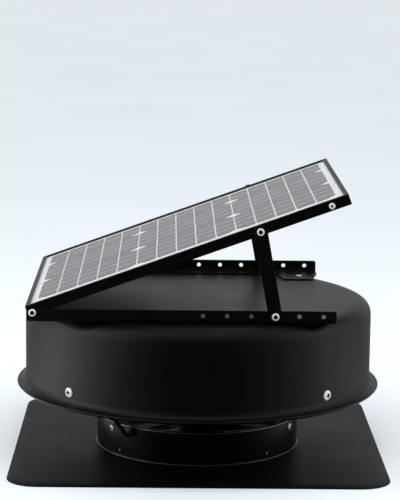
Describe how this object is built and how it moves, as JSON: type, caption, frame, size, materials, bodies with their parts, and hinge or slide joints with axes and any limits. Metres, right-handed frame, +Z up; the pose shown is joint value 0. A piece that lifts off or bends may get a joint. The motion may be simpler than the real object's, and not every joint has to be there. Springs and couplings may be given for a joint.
{
  "type": "solar attic fan",
  "caption": "Roof-mounted solar attic fan: square flashing with round collar, spun dome, axial fan inside and a framed solar panel that tilts on two side rails.",
  "frame": {"origin": "centre of the flashing plate's underside, at the foot of the whole object", "axes": "+Z up out of the roof, +X from the panel's hinge towards its raised end, -Y the side seen first"},
  "size_m": [0.61, 0.61, 0.4585],
  "materials": {
    "black_coat": "satin powder coat",
    "black_anodised": "satin black anodised",
    "zinc": "bright zinc plated",
    "motor_paint": "satin",
    "black_plastic": "matt",
    "rubber": "matt",
    "panel_glass": "clear tempered",
    "cells": "cells laminated on a white backsheet"
  },
  "bodies": {
    "base": {"flashing_plate": "black_coat", "neck_collar": "black_coat", "collar_rivet_1": "black_coat", "collar_rivet_2": "black_coat", "collar_rivet_3": "black_coat", "collar_rivet_4": "black_coat", "dome_cap": "black_coat", "dome_grommet": "rubber", "dome_strap_1": "black_coat", "dome_strap_2": "black_coat", "dome_strap_3": "black_coat", "dome_strap_4": "black_coat", "dome_screw_1": "zinc", "dome_screw_2": "zinc", "dome_screw_3": "zinc", "dome_screw_4": "zinc", "motor_mount": "black_coat", "mount_screw_1": "zinc", "mount_screw_2": "zinc", "mount_screw_3": "zinc", "motor_housing": "motor_paint", "motor_cap": "motor_paint", "front_rail": "black_coat", "hinge_bolt_front": "zinc", "foot_nut_front": "zinc", "rear_rail": "black_coat", "hinge_bolt_rear": "zinc", "foot_nut_rear": "zinc", "rail_screw_1": "zinc", "rail_screw_2": "zinc", "rail_screw_3": "zinc", "rail_screw_4": "zinc", "foot_bolt_front": "zinc", "foot_bolt_rear": "zinc"},
    "rotor": {"motor_shaft": "zinc", "fan_hub": "black_anodised", "fan_blade_1": "black_anodised", "fan_blade_2": "black_anodised", "fan_blade_3": "black_anodised", "fan_blade_4": "black_anodised", "fan_blade_5": "black_anodised", "rotor_nut": "zinc"},
    "panel": {"frame_front": "black_anodised", "frame_back": "black_anodised", "frame_left": "black_anodised", "frame_right": "black_anodised", "solar_glass": "panel_glass", "cell_laminate": "cells", "junction_box": "black_plastic", "junction_lid": "black_plastic", "cable_gland": "black_plastic", "leg_spacer_front": "zinc", "frame_screw_front": "zinc", "leg_spacer_rear": "zinc", "frame_screw_rear": "zinc"},
    "leg_front_body": {"leg_front": "black_coat", "leg_bolt_front": "zinc"},
    "leg_rear_body": {"leg_rear": "black_coat", "leg_bolt_rear": "zinc"}
  },
  "joints": [
    {"name": "fan_spin", "type": "hinge", "parent": "base", "child": "rotor", "pos_m": [0, 0, 0.03], "axis": [0, 0, 1], "continuous": true},
    {"name": "panel_tilt", "type": "hinge", "parent": "base", "child": "panel", "pos_m": [-0.2646, 0, 0.2659], "axis": [0, -1, 0], "range_deg": [-18.6, 0]},
    {"name": "leg_front_fold", "type": "hinge", "parent": "base", "child": "leg_front_body", "pos_m": [0.1176, -0.2342, 0.263], "axis": [0, -1, 0], "range_deg": [0, 80]},
    {"name": "leg_rear_fold", "type": "hinge", "parent": "base", "child": "leg_rear_body", "pos_m": [0.1176, 0.2342, 0.263], "axis": [0, -1, 0], "range_deg": [0, 80]}
  ],
  "couplings": [
    {"joint": "leg_front_fold", "follows": "panel_tilt", "ratio": -4.2204},
    {"joint": "leg_rear_fold", "follows": "panel_tilt", "ratio": -4.2204}
  ]
}
